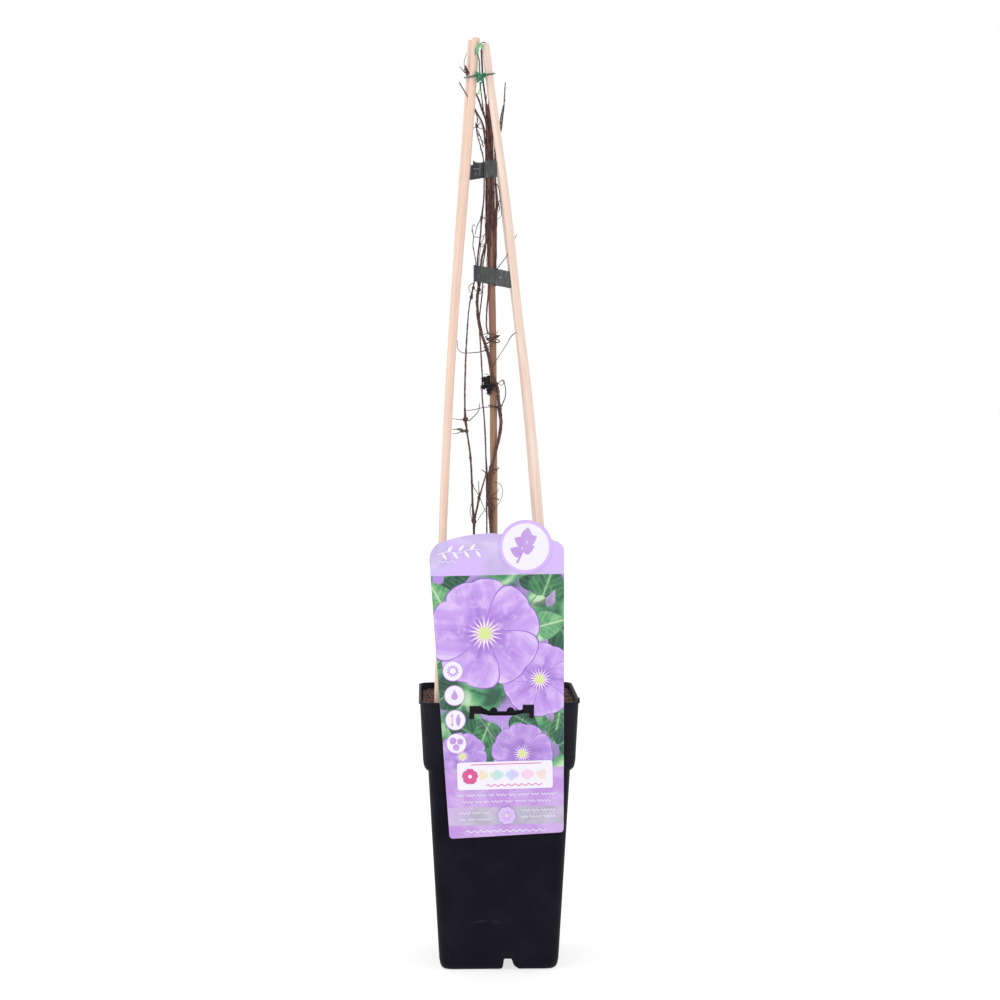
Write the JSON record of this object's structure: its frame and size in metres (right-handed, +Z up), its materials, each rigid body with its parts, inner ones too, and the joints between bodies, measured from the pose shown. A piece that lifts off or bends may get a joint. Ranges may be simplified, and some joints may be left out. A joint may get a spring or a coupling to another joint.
{
  "type": "potted climbing plant on a stick pyramid",
  "caption": "Dormant climbing plant in a square black nursery pot, trained up a pyramid of pale sticks round a cane, with a picture label hung on the pot.",
  "frame": {"origin": "on the floor under the middle of the pot, at the middle of the bounding box within the depth of the label", "axes": "+Z up, -Y is the front, where the label hangs on the pot, +X to the right seen from the front"},
  "size_m": [0.13, 0.1325, 0.7573],
  "materials": {
    "black_plastic": "satin black with fine moulding marks and scuffs",
    "soil": "moist crumbly bark and coir potting mix with pale fibres",
    "pale_wood": "planed pale softwood with a fine grain along the stick",
    "cane_wood": "dull brown split cane",
    "bark": "dry dark bark that peels in strands",
    "printed_card": null,
    "tape_plastic": "soft dark tape with a dull sheen",
    "tie_plastic": "green coating on thin wire",
    "staple_steel": "bright wire"
  },
  "bodies": {
    "root": {"pot": "black_plastic", "soil": "soil", "stick_front_left": "pale_wood", "stick_back_left": "pale_wood", "stick_front_right": "pale_wood", "stick_back_right": "pale_wood", "cane": "cane_wood", "label_card": "printed_card", "main_stem": "bark", "inner_stem": "bark", "left_stem": "bark", "cane_stem": "bark", "right_stem": "bark", "tape_upper": "tape_plastic", "tape_lower": "tape_plastic", "staple_upper": "staple_steel", "staple_lower": "staple_steel", "wire_tie": "tie_plastic"}
  },
  "joints": []
}
